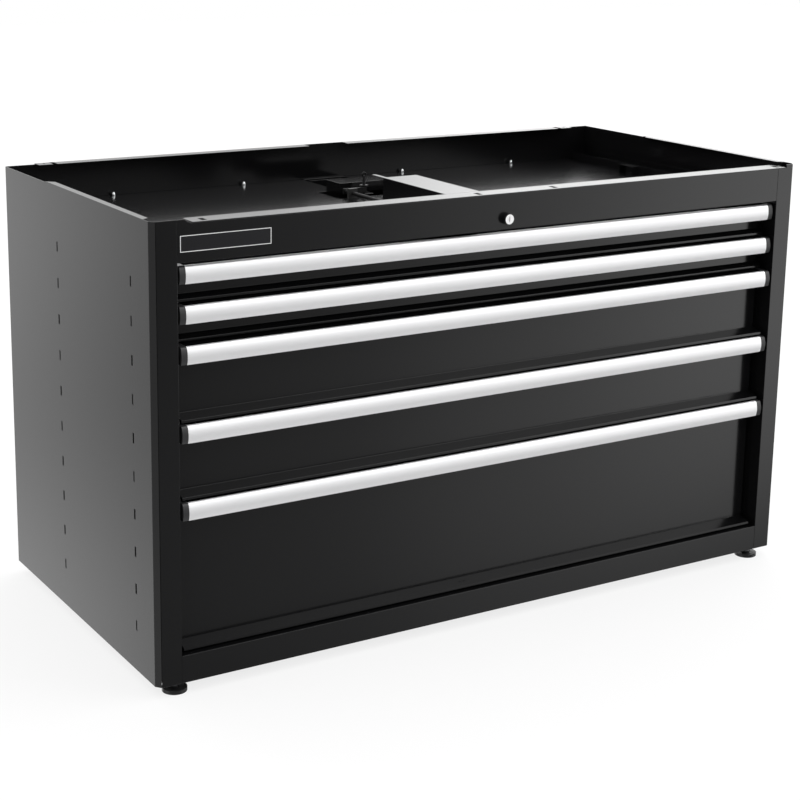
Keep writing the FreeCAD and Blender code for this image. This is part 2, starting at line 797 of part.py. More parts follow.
def lock_plug():
    """Turning plug with its keyway, the cam plate behind it and the cam's drive pin."""
    radius = "lock_bore_r - run_gap / 2"
    plug = cylinder("plug_round", "Y", LOCK_X, LOCK_Z, radius, "0 - lock_proud + fit_gap", "lock_body_long")
    keyway = block("plug_keyway", (f"{LOCK_X} - key_wide / 2", f"{LOCK_X} + key_wide / 2"),
                   ("0 - lock_proud", "0 - lock_proud + key_deep"),
                   (f"{LOCK_Z} - key_high / 2", f"{LOCK_Z} + key_high / 2"))
    bulge = cylinder("plug_bulge", "Y", f"{LOCK_X} - key_bulge_left", LOCK_Z, "key_bulge_r",
                     "0 - lock_proud", "0 - lock_proud + key_deep")
    cam_start = "(lock_body_long + fit_gap)"
    neck = cylinder("plug_neck", "Y", LOCK_X, LOCK_Z, "cam_half", "lock_body_long", cam_start)
    cam = block("plug_cam", (f"{LOCK_X} - cam_half", f"{LOCK_X} + cam_half"),
                (cam_start, f"{cam_start} + cam_thick"), (f"{LOCK_Z} - cam_high", f"{LOCK_Z} + cam_half"))
    pin = cylinder("plug_pin", "Y", LOCK_X, f"{LOCK_Z} - cam_throw", "cam_pin_r",
                   cam_start, "front_arm_y + arm_thick")
    hollow = cut("plug_keyed", plug, fuse("plug_keyhole", [keyway, bulge]))
    whole = fuse("lock_plug", [hollow, neck, cam, pin])
    place(whole)
    finish(whole, "lock_plug")


def lock_shaft():
    """Rocker shaft: the front arm, with a tail that balances it, rides on the cam's pin, and the
    rear arm lifts the locking bar."""
    body = new_body("lock_shaft")
    under = f"({LOCK_Z} - cam_throw + cam_pin_r + fit_gap)"
    lift = f"({under} + arm_thick)"
    rear = f"({BAR_Y} - collar_r - fit_gap)"
    pad(body, "XZ_Plane", [circle(SHAFT_X, SHAFT_Z, "shaft_r")],
        "front_arm_y", f"{rear} + rear_arm_thick")
    pad(body, "XZ_Plane", [[
        (f"{SHAFT_X} - front_arm_tail", f"{SHAFT_Z} - arm_half + front_tail_rise"),
        (f"{SHAFT_X} - arm_half", f"{SHAFT_Z} - arm_half"),
        (f"{SHAFT_X} + arm_half", f"{SHAFT_Z} - arm_half"),
        (f"{SHAFT_X} + 2 * arm_half", under),
        (f"{SHAFT_X} + front_arm_reach", under),
        (f"{SHAFT_X} + front_arm_reach", lift),
        (f"{SHAFT_X} + arm_half", lift),
        (f"{SHAFT_X} - arm_half", f"{SHAFT_Z} + arm_half"),
        (f"{SHAFT_X} - front_arm_tail", f"{SHAFT_Z} + arm_half + front_tail_rise"),
    ]], "front_arm_y", "front_arm_y + arm_thick")
    top = f"({SHAFT_Z} + arm_half - fit_gap)"
    pad(body, "XZ_Plane", [rectangle(f"{SHAFT_X} - arm_half", f"{SHAFT_X} + rear_arm_reach",
                                     f"{SHAFT_Z} - arm_half", top)],
        rear, f"{rear} + rear_arm_thick")
    finish(body, "lock_shaft")


def lock_bar():
    """Upright locking bar: eye, round stem with its lifting collar, strip and one hook a drawer."""
    body = doc.addObject("PartDesign::Body", "lock_bar_shape")
    strip_top = f"({COVER_UNDER} - bar_strip_top)"
    front = f"({BAR_Y} - bar_thick / 2)"
    pad(body, "XY_Plane", [rectangle(f"{BAR_X} - bar_half", f"{BAR_X} + bar_half",
                                     front, f"{front} + bar_thick")], "bar_foot", strip_top)
    pad(body, "XY_Plane", [circle(BAR_X, BAR_Y, "bar_r")],
        f"{strip_top} - bar_half", f"{COVER_TOP} + eye_rise - eye_r")
    pad(body, "XY_Plane", [circle(BAR_X, BAR_Y, "collar_r")],
        f"{SHAFT_Z} + arm_half", f"{SHAFT_Z} + arm_half + collar_thick")
    for drawer in DRAWERS.values():
        tip = f"(base_high + {drawer['row']} * module_high + catch_z - hook_gap)"
        pad(body, "YZ_Plane", [[
            (front, f"{tip} - hook_high"),
            (front, f"{tip} - hook_high + hook_tip"),
            (f"{front} - hook_long + hook_tip", f"{tip} - hook_high + hook_tip"),
            (f"{front} - hook_long + hook_tip", tip),
            (f"{front} - hook_long", tip),
            (f"{front} - hook_long", f"{tip} - hook_high"),
        ]], f"{BAR_X} - bar_half", f"{BAR_X} + bar_half")
    ring = doc.addObject("Part::Torus", "lock_bar_eye")
    ring.setExpression("Radius1", bound("eye_r"))
    ring.setExpression("Radius2", bound("eye_wire_r"))
    upright = FreeCAD.Rotation(FreeCAD.Vector(1, 0, 0), 90)
    ring.Placement = FreeCAD.Placement(FreeCAD.Vector(), upright)
    for direction, text in zip("xyz", (BAR_X, BAR_Y, f"{COVER_TOP} + eye_rise")):
        ring.setExpression(f"Placement.Base.{direction}", bound(text))
    whole = fuse("lock_bar", [body, ring])
    place(whole)
    finish(whole, "lock_bar")


def lock_guides():
    """Two bushes for the rocker shaft and the foot guide of the locking bar."""
    guides = []
    back = f"({WINDOW_FRONT} - bush_back_gap - bush_long)"
    for name, start in (("front", "bush_front"), ("back", back)):
        body = doc.addObject("PartDesign::Body", f"shaft_bush_{name}")
        pad(body, "XZ_Plane", [
            rectangle(f"{SHAFT_X} - bush_half", f"{SHAFT_X} + bush_half",
                      COVER_TOP, f"{COVER_TOP} + 2 * bush_half"),
            circle(SHAFT_X, SHAFT_Z, "shaft_r + run_gap"),
        ], start, f"{start} + bush_long")
        guides.append(body)
    body = doc.addObject("PartDesign::Body", "bar_foot_guide")
    wide = "(bar_half + run_gap)"
    thick = "(bar_thick / 2 + run_gap)"
    pad(body, "XY_Plane", [
        rectangle(f"{BAR_X} - 2 * guide_half", f"{BAR_X} + 2 * guide_half",
                  f"{BAR_Y} - guide_half", f"{BAR_Y} + guide_half"),
        rectangle(f"{BAR_X} - {wide}", f"{BAR_X} + {wide}", f"{BAR_Y} - {thick}", f"{BAR_Y} + {thick}"),
    ], "2 * sheet", "2 * sheet + guide_high")
    guides.append(body)
    group("lock_guides", guides)


def slide_z(drawer):
    return f"(base_high + {drawer['row']} * module_high + slide_mid)"


def slide_carriers():
    """Lipped channel beside each slide, with its tongues in the side panel's slots."""
    carriers = []
    for name, drawer in DRAWERS.items():
        low = f"({slide_z(drawer)} - carrier_half)"
        high = f"({slide_z(drawer)} + carrier_half)"
        for side, sign in SIDES.items():
            body = doc.addObject("PartDesign::Body", f"{name}_carrier_{side}")
            face = mirrored(sign, SLIDE_X)
            behind = mirrored(sign, f"{SLIDE_X} + sheet")
            wall = mirrored(sign, INNER_HALF)
            web = mirrored(sign, f"{INNER_HALF} - sheet")
            pad(body, "XZ_Plane", [[
                (wall, low),
                (face, low),
                (face, f"{low} + carrier_lip"),
                (behind, f"{low} + carrier_lip"),
                (behind, f"{low} + sheet"),
                (web, f"{low} + sheet"),
                (web, f"{high} - sheet"),
                (behind, f"{high} - sheet"),
                (behind, f"{high} - carrier_lip"),
                (face, f"{high} - carrier_lip"),
                (face, high),
                (wall, high),
            ]], "carrier_front", f"{SLIDE_END} - carrier_end_gap")
            start, end = span(sign, f"{INNER_HALF} - sheet / 2", f"{INNER_HALF} + tongue_deep")
            tongues = [rectangle(f"{column} - tongue_wide / 2", f"{column} + tongue_wide / 2",
                                 f"{slide_z(drawer)} - tongue_high / 2",
                                 f"{slide_z(drawer)} + tongue_high / 2")
                       for column in ("slot_front", "slot_back")]
            pad(body, "YZ_Plane", tongues, start, end)
            carriers.append(body)
    group("slide_carriers", carriers)


def slide_rail(name, sign, drawer, web, inside, tip, half):
    """One C-section member of a telescopic slide."""
    body = doc.addObject("PartDesign::Body", name)
    low = f"({slide_z(drawer)} - {half})"
    high = f"({slide_z(drawer)} + {half})"
    pad(body, "XZ_Plane", [[
        (mirrored(sign, web), low),
        (mirrored(sign, tip), low),
        (mirrored(sign, tip), f"{low} + slide_wall"),
        (mirrored(sign, inside), f"{low} + slide_wall"),
        (mirrored(sign, inside), f"{high} - slide_wall"),
        (mirrored(sign, tip), f"{high} - slide_wall"),
        (mirrored(sign, tip), high),
        (mirrored(sign, web), high),
    ]], "slide_front", SLIDE_END)
    return body


def slides():
    """Three-member telescopic slides: fixed, middle and drawer members, nested with a small gap."""
    outer_half = "slide_high / 2"
    middle_half = f"({outer_half} - slide_wall - fit_gap)"
    inner_half = f"({middle_half} - slide_wall - fit_gap)"
    middle_web = f"({SLIDE_X} - slide_wall - fit_gap)"
    middle_inside = f"({middle_web} - slide_wall)"
    fixed = []
    for name, drawer in DRAWERS.items():
        middle = []
        moving = []
        for side, sign in SIDES.items():
            fixed.append(slide_rail(f"{name}_fixed_{side}", sign, drawer, SLIDE_X,
                                    f"({SLIDE_X} - slide_wall)", f"({SLIDE_X} - slide_lip)", outer_half))
            middle.append(slide_rail(f"{name}_middle_{side}", sign, drawer, middle_web, middle_inside,
                                     f"({BOX_X} + slide_wall + fit_gap)", middle_half))
            moving.append(slide_rail(f"{name}_moving_{side}", sign, drawer, BOX_X,
                                     f"({BOX_X} + slide_wall)", f"({middle_inside} - fit_gap)", inner_half))
        group(f"{name}_middle_slides", middle)
        group(f"{name}_drawer_slides", moving)
    group("cabinet_slides", fixed)


def drawer_front(name, drawer, bottom, top):
    """Folded front: panel, sloping band and hem, closed ends, and laps that lie on the box."""
    body = new_body(f"{name}_front", bottom)
    panel, lip = drawer["panel"], drawer["lip"]
    head = f"({top} - front_top_gap)"
    back = f"({panel} + front_deep)"
    hem = "(lip_bottom + lip_hem)"
    band = f"({hem} + lip_band)"
    outside = [(back, "lip_bottom"), (back, head), (panel, head), (panel, band),
               (lip, hem), (lip, "lip_bottom")]
    low_lap = "(box_lift + front_lap)"
    high_lap = f"({top} - box_drop - front_lap)"
    inside = [
        (back, "lip_bottom"),
        (back, low_lap),
        (f"{back} - front_sheet", low_lap),
        (f"{back} - front_sheet", "lip_bottom + front_sheet"),
        (f"{lip} + front_sheet", "lip_bottom + front_sheet"),
        (f"{lip} + front_sheet", f"{hem} - front_sheet / 2"),
        (f"{panel} + front_sheet", f"{band} - front_sheet / 2"),
        (f"{panel} + front_sheet", f"{head} - front_sheet"),
        (f"{back} - front_sheet", f"{head} - front_sheet"),
        (f"{back} - front_sheet", high_lap),
        (back, high_lap),
    ]
    inner = f"({FRONT_HALF} - front_sheet)"
    pad(body, "YZ_Plane", [inside + outside[1:]], neg(inner), inner)
    for sign in SIDES.values():
        start, end = span(sign, inner, FRONT_HALF)
        pad(body, "YZ_Plane", [outside], start, end)
    doc.recompute()
    if drawer["modules"] == 4:
        holes = [circle(f"0 - {across}", f"({panel} + {lip}) / 2", "drain_r")
                 for across in ("drain_left", "drain_right")]
        pocket(body, "XY_Plane", holes, hem, band)
    finish(body, f"{name}_front")


def drawer_box(name, drawer, bottom, top):
    """Open steel box with the catch for the locking bar on its back."""
    body = new_body(f"{name}_box", bottom)
    front = f"({drawer['panel']} + front_deep)"
    outer = rectangle(neg(BOX_X), BOX_X, front, "box_back")
    inner = rectangle(f"0 - {BOX_X} + box_sheet", f"{BOX_X} - box_sheet",
                      f"{front} + box_sheet", "box_back - box_sheet")
    pad(body, "XY_Plane", [outer], "box_lift", "box_lift + box_sheet")
    pad(body, "XY_Plane", [outer, inner], "box_lift", f"{top} - box_drop")
    pad(body, "YZ_Plane", [[
        ("box_back - box_sheet / 2", "catch_z + catch_high"),
        ("box_back + catch_deep", "catch_z + catch_high"),
        ("box_back + catch_deep", "catch_z"),
        ("box_back + catch_deep - catch_thick", "catch_z"),
        ("box_back + catch_deep - catch_thick", "catch_z + catch_high - catch_thick"),
        ("box_back - box_sheet / 2", "catch_z + catch_high - catch_thick"),
    ]], f"{BAR_X} - catch_half", f"{BAR_X} + catch_half")
    finish(body, f"{name}_box")


def drawer_handle(name, drawer, bottom, top):
    """Hooked aluminium grip rail along the top of the front, and its two end caps."""
    panel = drawer["panel"]
    low = f"({top} - grip_high)"
    outer_radius = "(grip_high ^ 2 / 4 + grip_bulge ^ 2) / (2 * grip_bulge)"
    back = "(grip_front + grip_wall)"
    body = new_body(f"{name}_handle", bottom)
    pad(body, "YZ_Plane", [[
        ("grip_front", top, outer_radius),
        ("grip_front", low),
        (back, low),
        (back, f"{top} - grip_wall"),
        (f"{panel} - grip_wall", f"{top} - grip_wall"),
        (f"{panel} - grip_wall", f"{top} - grip_leg"),
        (panel, f"{top} - grip_leg"),
        (panel, top),
    ]], neg(GRIP_HALF), GRIP_HALF)
    finish(body, f"{name}_handle")
    caps = []
    for side, sign in SIDES.items():
        cap = doc.addObject("PartDesign::Body", f"{name}_cap_{side}")
        start, end = span(sign, GRIP_HALF, f"{GRIP_HALF} + cap_long")
        pad(cap, "YZ_Plane", [[
            ("grip_front", top, outer_radius),
            ("grip_front", low),
            (panel, low),
            (panel, top),
        ]], start, end)
        caps.append(cap)
    group(f"{name}_handle_caps", caps, bottom)


def drawers():
    for name, drawer in DRAWERS.items():
        bottom = f"(base_high + {drawer['row']} * module_high)"
        top = f"({drawer['modules']} * module_high)"
        drawer_box(name, drawer, bottom, top)
        drawer_front(name, drawer, bottom, top)
        drawer_handle(name, drawer, bottom, top)


def hexagon(x, y, flats):
    """A nut's outline, with two flats square to the X axis."""
    corner = f"{flats} / sqrt(3)"
    return [
        (f"{x} + {flats} / 2", f"{y} - {corner} / 2"),
        (f"{x} + {flats} / 2", f"{y} + {corner} / 2"),
        (x, f"{y} + {corner}"),
        (f"{x} - {flats} / 2", f"{y} + {corner} / 2"),
        (f"{x} - {flats} / 2", f"{y} - {corner} / 2"),
        (x, f"{y} - {corner}"),
    ]


def feet():
    """Levelling feet: a pad with its screw, turning in a nut welded under the frame."""
    nuts = []
    for end, y in (("front", "foot_y"), ("rear", "(depth - foot_y)")):
        for side, sign in SIDES.items():
            x = mirrored(sign, FOOT_X)
            nut = doc.addObject("PartDesign::Body", f"nut_{end}_{side}")
            pad(nut, "XY_Plane", [hexagon(x, y, "nut_flats"), circle(x, y, "stem_r + run_gap")],
                "0 - nut_high", "0")
            nuts.append(nut)
            foot = new_body(f"foot_{end}_{side}")
            base = "(0 - foot_drop)"
            neck = f"({base} + foot_thick)"
            pad(foot, "XY_Plane", [circle(x, y, "foot_r")], base, neck)
            pad(foot, "XY_Plane", [circle(x, y, "foot_neck_r")], base, f"{neck} + foot_neck_high")
            pad(foot, "XY_Plane", [circle(x, y, "stem_r")], base, "stem_top")
            finish(foot, f"levelling_foot_{end}_{side}")
    group("foot_nuts", nuts)


def name_plate():
    """Blank plate at the left end of the fascia."""
    body = new_body("name_plate")
    top = f"({CABINET_TOP} - plate_drop)"
    left = f"(plate_gap - {OPENING_HALF})"
    pad(body, "XZ_Plane", [rectangle(left, f"{left} + plate_wide", f"{top} - plate_high", top)],
        "0 - plate_thick", "0")
    finish(body, "name_plate")


def check_and_export():
    doc.recompute()
    for item in doc.Objects:
        if "Invalid" in item.State or "Error" in item.State:
            raise RuntimeError(f"{item.Label} did not recompute: {item.State}")
    for label, part in parts.items():
        shape = part.Shape
        if shape.isNull() or not shape.isValid() or not shape.Solids:
            raise RuntimeError(f"{label} has no valid solid")
    os.makedirs("parts", exist_ok=True)
    for label, part in parts.items():
        part.Shape.exportStep(os.path.join("parts", f"{label}.step"))
        print(label, len(part.Shape.Solids), round(part.Shape.Volume))


for side, sign in SIDES.items():
    side_panel(f"side_panel_{side}", sign)
    front_post(f"front_post_{side}", sign)
    dust_cover(f"dust_cover_{side}", sign)
fascia_panel()
top_rail_plate()
bottom_rail()
rear_rail()
base_panel()
rear_panel()
rear_spine()
crossbar_channel()
cover_ledges()
cover_screws()
lock_bracket()
lock_cylinder()
lock_plug()
lock_shaft()
lock_bar()
lock_guides()
slide_carriers()
slides()
drawers()
feet()
name_plate()
check_and_export()
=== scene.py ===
import json
import math

import bpy
from mathutils import Matrix, Vector

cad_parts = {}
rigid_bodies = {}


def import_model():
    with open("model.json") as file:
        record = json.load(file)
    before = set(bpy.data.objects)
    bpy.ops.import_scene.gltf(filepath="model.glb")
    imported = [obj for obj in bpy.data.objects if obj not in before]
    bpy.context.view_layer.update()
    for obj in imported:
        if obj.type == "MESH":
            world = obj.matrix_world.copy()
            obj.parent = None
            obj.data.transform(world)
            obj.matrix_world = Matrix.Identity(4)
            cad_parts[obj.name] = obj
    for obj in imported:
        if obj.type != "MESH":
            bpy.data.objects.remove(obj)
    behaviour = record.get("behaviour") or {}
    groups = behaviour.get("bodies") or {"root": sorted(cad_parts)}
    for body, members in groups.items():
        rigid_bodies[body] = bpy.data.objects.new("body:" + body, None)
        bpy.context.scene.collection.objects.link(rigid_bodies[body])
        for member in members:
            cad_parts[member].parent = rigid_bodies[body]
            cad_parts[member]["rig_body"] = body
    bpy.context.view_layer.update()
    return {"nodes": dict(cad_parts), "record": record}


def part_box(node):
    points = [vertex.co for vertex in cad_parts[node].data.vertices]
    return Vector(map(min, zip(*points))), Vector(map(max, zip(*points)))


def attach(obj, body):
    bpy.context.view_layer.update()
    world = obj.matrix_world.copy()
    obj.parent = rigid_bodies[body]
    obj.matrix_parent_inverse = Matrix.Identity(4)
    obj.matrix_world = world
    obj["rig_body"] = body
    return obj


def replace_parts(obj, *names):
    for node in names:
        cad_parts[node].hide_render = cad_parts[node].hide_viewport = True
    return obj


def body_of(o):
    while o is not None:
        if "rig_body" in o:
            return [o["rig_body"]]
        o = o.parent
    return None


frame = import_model()
nodes = frame["nodes"]
DRAWERS = (1, 2, 3, 4, 5)
CORNERS = ("front_left", "front_right", "rear_left", "rear_right")
LOCK_RODS = ("lock_shaft", "lock_bar")
WHITE = (1, 1, 1, 1)


# Shader helpers

def node_of(tree, kind, **values):
    n = tree.nodes.new(kind)
    for key, value in values.items():
        setattr(n, key, value)
    return n


def maths(tree, operation, *inputs):
    n = node_of(tree, "ShaderNodeMath", operation=operation)
    for i, value in enumerate(inputs):
        if hasattr(value, "is_output"):
            tree.links.new(value, n.inputs[i])
        else:
            n.inputs[i].default_value = value
    return n.outputs[0]


def smooth_step(tree, value, low, high, bottom, top):
    n = node_of(tree, "ShaderNodeMapRange", interpolation_type="SMOOTHSTEP")
    tree.links.new(value, n.inputs["Value"])
    n.inputs["From Min"].default_value = low
    n.inputs["From Max"].default_value = high
    n.inputs["To Min"].default_value = bottom
    n.inputs["To Max"].default_value = top
    return n.outputs["Result"]


def curve(tree, value, low, high, stops):
    """A smooth line of brightness over an angle in degrees, through the stops (degrees, brightness)."""
    brightest = max(level for _, level in stops)
    n = node_of(tree, "ShaderNodeMapRange")
    tree.links.new(value, n.inputs["Value"])
    n.inputs["From Min"].default_value = math.radians(low)
    n.inputs["From Max"].default_value = math.radians(high)
    ramp = node_of(tree, "ShaderNodeValToRGB")
    tree.links.new(n.outputs["Result"], ramp.inputs["Fac"])
    ramp.color_ramp.interpolation = "EASE"
    points = ramp.color_ramp.elements
    while len(points) < len(stops):
        points.new(0.5)
    for point, (degrees, level) in zip(points, stops):
        point.position = (degrees - low) / (high - low)
        point.color = (*[level / brightest] * 3, 1)
    return maths(tree, "MULTIPLY", ramp.outputs["Color"], brightest)


def end_in_mix(tree, factor, first, second, kind):
    """Ends a tree in the first shader, and in the second where the factor is 1."""
    choose = node_of(tree, "ShaderNodeMixShader")
    tree.links.new(factor, choose.inputs[0])
    tree.links.new(first.outputs[0], choose.inputs[1])
    tree.links.new(second.outputs[0], choose.inputs[2])
    out = node_of(tree, kind)
    tree.links.new(choose.outputs[0], out.inputs["Surface"])


# Finishes

NO_STRETCH = (1, 1, 1)
BRUSH_STRETCH = (0.02, 1, 1)
SKIN_DETAIL = 2


def material(name, colour, roughness, metallic=0.0, specular=None, grain=None, brushed=None):
    """A finish: grain is (size in metres, height in metres) of a fine skin, brushed the same along X."""
    m = bpy.data.materials.new(name)
    m.use_nodes = True
    tree = m.node_tree
    shader = tree.nodes["Principled BSDF"]
    shader.inputs["Base Color"].default_value = (*colour, 1)
    shader.inputs["Roughness"].default_value = roughness
    shader.inputs["Metallic"].default_value = metallic
    if specular is not None:
        shader.inputs["Specular IOR Level"].default_value = specular
    if grain or brushed:
        size, height = grain or brushed
        place = node_of(tree, "ShaderNodeTexCoord")
        stretch = node_of(tree, "ShaderNodeMapping")
        stretch.inputs["Scale"].default_value = BRUSH_STRETCH if brushed else NO_STRETCH
        noise = node_of(tree, "ShaderNodeTexNoise")
        noise.inputs["Scale"].default_value = 1 / size
        noise.inputs["Detail"].default_value = SKIN_DETAIL
        bump = node_of(tree, "ShaderNodeBump")
        bump.inputs["Strength"].default_value = 1
        bump.inputs["Distance"].default_value = height
        tree.links.new(place.outputs["Object"], stretch.inputs["Vector"])
        tree.links.new(stretch.outputs["Vector"], noise.inputs["Vector"])
        tree.links.new(noise.outputs["Fac"], bump.inputs["Height"])
        tree.links.new(bump.outputs["Normal"], shader.inputs["Normal"])
    return m


black = material("black_steel", (0.0042, 0.0042, 0.0045), roughness=0.15, grain=(0.003, 0.000004))
linkage = material("linkage_steel", (0.004, 0.004, 0.0042), roughness=0.55, specular=0.2)
# painted shade: a dull black with no reflection, put on the grips' flat tails where the recess above each
# grip lies in shade
tail_shade_black = material("painted_shade_black", (0.004, 0.004, 0.0042), roughness=0.8, specular=0.0)
aluminium = material("grip_aluminium", (0.89, 0.89, 0.9), roughness=0.45, metallic=0.7,
                     brushed=(0.0012, 0.000002))
cap = material("cap_plastic", (0.02, 0.02, 0.021), roughness=0.38, grain=(0.0008, 0.00001))
slide_metal = material("slide_steel", (0.6, 0.61, 0.62), roughness=0.32, metallic=1.0,
                       brushed=(0.0008, 0.000003))
zinc = material("zinc_steel", (0.66, 0.67, 0.68), roughness=0.24, metallic=1.0)
chrome = material("lock_chrome", (0.95, 0.95, 0.95), roughness=0.35, metallic=0.5)
nylon = material("guide_nylon", (0.008, 0.008, 0.008), roughness=0.6)
foot_plastic = material("foot_plastic", (0.008, 0.008, 0.0085), roughness=0.35, grain=(0.001, 0.00001))
plate = material("plate_print", (0.009, 0.009, 0.0105), roughness=0.2)
pale_line = material("plate_border", (0.7, 0.7, 0.7), roughness=0.4)

FINISHES = {
    "black_steel": black,
    "grip_aluminium": aluminium,
    "cap_plastic": cap,
    "slide_steel": slide_metal,
    "zinc_steel": zinc,
    "lock_chrome": chrome,
    "guide_nylon": nylon,
    "foot_plastic": foot_plastic,
    "plate_print": plate,
}
SLOT_OF = {s["node"]: s["material_slot"] for s in frame["record"]["subparts"]}
BODY_OF = {name: body_of(obj)[0] for name, obj in nodes.items()}


# Mesh helpers

WELD_GAP = 0.00001
FLAT_ANGLE = math.radians(0.5)
EDGE_ANGLE = math.radians(35)
EDGE_STEPS = 2
SHARP_ANGLE = math.radians(30)


def soften(obj, width):
    """Welds the faces of a piece, joins the flat ones and rounds its edges a little."""
    weld = obj.modifiers.new("weld", "WELD")
    weld.merge_threshold = WELD_GAP
    flat = obj.modifiers.new("flat", "DECIMATE")
    flat.decimate_type = "DISSOLVE"
    flat.angle_limit = FLAT_ANGLE
    bevel = obj.modifiers.new("bevel", "BEVEL")
    bevel.width = width
    bevel.segments = EDGE_STEPS
    bevel.limit_method = "ANGLE"
    bevel.angle_limit = EDGE_ANGLE
    bevel.harden_normals = True


def piece(name, points, faces, finishes):
    mesh = bpy.data.meshes.new(name)
    mesh.from_pydata(points, [], faces)
    for finish in finishes:
        mesh.materials.append(finish)
    obj = bpy.data.objects.new(name, mesh)
    bpy.context.scene.collection.objects.link(obj)
    return obj


def slab(name, low, high, finish):
    """A box between two corners."""
    corners = [(x, y, z) for x in (low[0], high[0]) for y in (low[1], high[1]) for z in (low[2], high[2])]
    faces = [(0, 1, 3, 2), (4, 6, 7, 5), (0, 4, 5, 1), (2, 3, 7, 6), (0, 2, 6, 4), (1, 5, 7, 3)]
    return piece(name, corners, faces, [finish])


def swept(name, outline, spans, finishes, kinds):
    """A piece of one outline in Y and Z along spans of X; kinds picks the finish of each side."""
    points = []
    faces = []
    count = len(outline)
    for start, end in spans:
        base = len(points)
        points += [(x, y, z) for x in (start, end) for y, z in outline]
        for i in range(count):
            after = (i + 1) % count
            faces.append((base + i, base + after, base + count + after, base + count + i))
        faces.append(tuple(base + i for i in reversed(range(count))))
        faces.append(tuple(base + count + i for i in range(count)))
    obj = piece(name, points, faces, finishes)
    mesh = obj.data
    kinds_with_ends = kinds + [0, 0]
    for i, face in enumerate(mesh.polygons):
        face.material_index = kinds_with_ends[i % len(kinds_with_ends)]
    mesh.shade_smooth()
    mesh.set_sharp_from_angle(angle=SHARP_ANGLE)
    return obj


def arc(y, z, radius, start, end, count):
    """Points on a circle in Y and Z, from one angle to another in degrees, 90 being up."""
    angles = [math.radians(start + (end - start) * i / count) for i in range(count + 1)]
    return [(y + radius * math.cos(a), z + radius * math.sin(a)) for a in angles]


# Every solid gets its finish, and the sheet metal its soft edges

SHEET_EDGE = 0.0006

for name, obj in nodes.items():
    slot = SLOT_OF[name]
    obj.data.materials.clear()
    obj.data.materials.append(linkage if name in LOCK_RODS else FINISHES[slot])
    if slot == "black_steel":
        soften(obj, SHEET_EDGE)


# Levelling feet: a black pad on a bright screw

PAD_TOP = 0.0105

for corner in CORNERS:
    mesh = nodes[f"levelling_foot_{corner}"].data
    mesh.materials.append(zinc)
    for face in mesh.polygons:
        face.material_index = 1 if face.center.z > PAD_TOP else 0


# Grips with a rounded upper edge: a curved face in aluminium on a flat tail painted dull black with no
# reflection as painted shade, with end caps

GRIP_DEEP = 0.034
GRIP_BULGE = 0.003
GRIP_WALL = 0.002
GRIP_LEG = 0.022
ROUND = 0.006
SHOULDER = 0.0036
ROUND_STEPS = 6
FACE_STEPS = 16
CAP_EDGE = 0.0008

for drawer in DRAWERS:
    handle = f"drawer_{drawer}_handle"
    low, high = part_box(handle)
    cap_low, cap_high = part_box(f"{handle}_caps")
    front = high.y - GRIP_DEEP
    tail = front + math.sqrt(ROUND ** 2 - (ROUND - SHOULDER) ** 2)
    tall = high.z - SHOULDER - low.z
    radius = (tall ** 2 / 4 + GRIP_BULGE ** 2) / (2 * GRIP_BULGE)
    turn = math.degrees(math.asin(tall / 2 / radius))
    upper = arc(tail, high.z - ROUND, ROUND, 90, 180 - turn, ROUND_STEPS)
    middle = low.z + tall / 2
    face = arc(front + radius - GRIP_BULGE, middle, radius, 180 - turn, 180 + turn, FACE_STEPS)
    skin = upper + face[1:]
    inside = [
        (front + GRIP_WALL, low.z),
        (front + GRIP_WALL, high.z - SHOULDER - GRIP_WALL),
    ]
    flat_tail = [
        (tail, high.z - GRIP_WALL),
        (high.y - GRIP_WALL, high.z - GRIP_WALL),
        (high.y - GRIP_WALL, high.z - GRIP_LEG),
        (high.y, high.z - GRIP_LEG),
        (high.y, high.z),
    ]
    rail = skin + inside + flat_tail
    # the flat tail takes the painted shade black instead of aluminium
    kinds = [0] * len(skin + inside) + [1] * len(flat_tail)
    grip = swept(f"drawer_{drawer}_grip", rail, [(low.x, high.x)], [aluminium, tail_shade_black], kinds)
    body = BODY_OF[handle]
    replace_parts(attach(grip, body), handle)
    solid = skin + [(high.y, low.z), (high.y, high.z)]
    cap_spans = [(cap_low.x, low.x), (high.x, cap_high.x)]
    ends = swept(f"drawer_{drawer}_grip_caps", solid, cap_spans, [cap], [0] * len(solid))
    soften(ends, CAP_EDGE)
    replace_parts(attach(ends, body), f"{handle}_caps")


# A pale border on the blank name plate

BORDER = 0.0012
INSET = 0.0008
PROUD = 0.0002

low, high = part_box("name_plate")
left, right = low.x + INSET, high.x - INSET
foot, head = low.z + INSET, high.z - INSET
strips = {
    "top": ((left, head - BORDER), (right, head)),
    "bottom": ((left, foot), (right, foot + BORDER)),
    "left": ((left, foot + BORDER), (left + BORDER, head - BORDER)),
    "right": ((right - BORDER, foot + BORDER), (right, head - BORDER)),
}
for side, ((x0, z0), (x1, z1)) in strips.items():
    strip = slab(f"plate_border_{side}", (x0, low.y - PROUD, z0), (x1, low.y + PROUD, z1), pale_line)
    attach(strip, BODY_OF["name_plate"])


# The camera stands where the photograph was taken from, measured from the cabinet's face and underside

FACE_Y = -0.3445
UNDERSIDE_Z = 0.022
EYE = Vector((-1.8850, -2.6068 + FACE_Y, 1.3605 + UNDERSIDE_Z))
YAW = 0.536
PITCH = 0.227
ROLL = 0.011
FOCAL_PIXELS = 1745.8
PICTURE = 800
CENTRE_PIXEL = (352, 300)
SENSOR = 36
NEAREST = 0.05
FARTHEST = 100

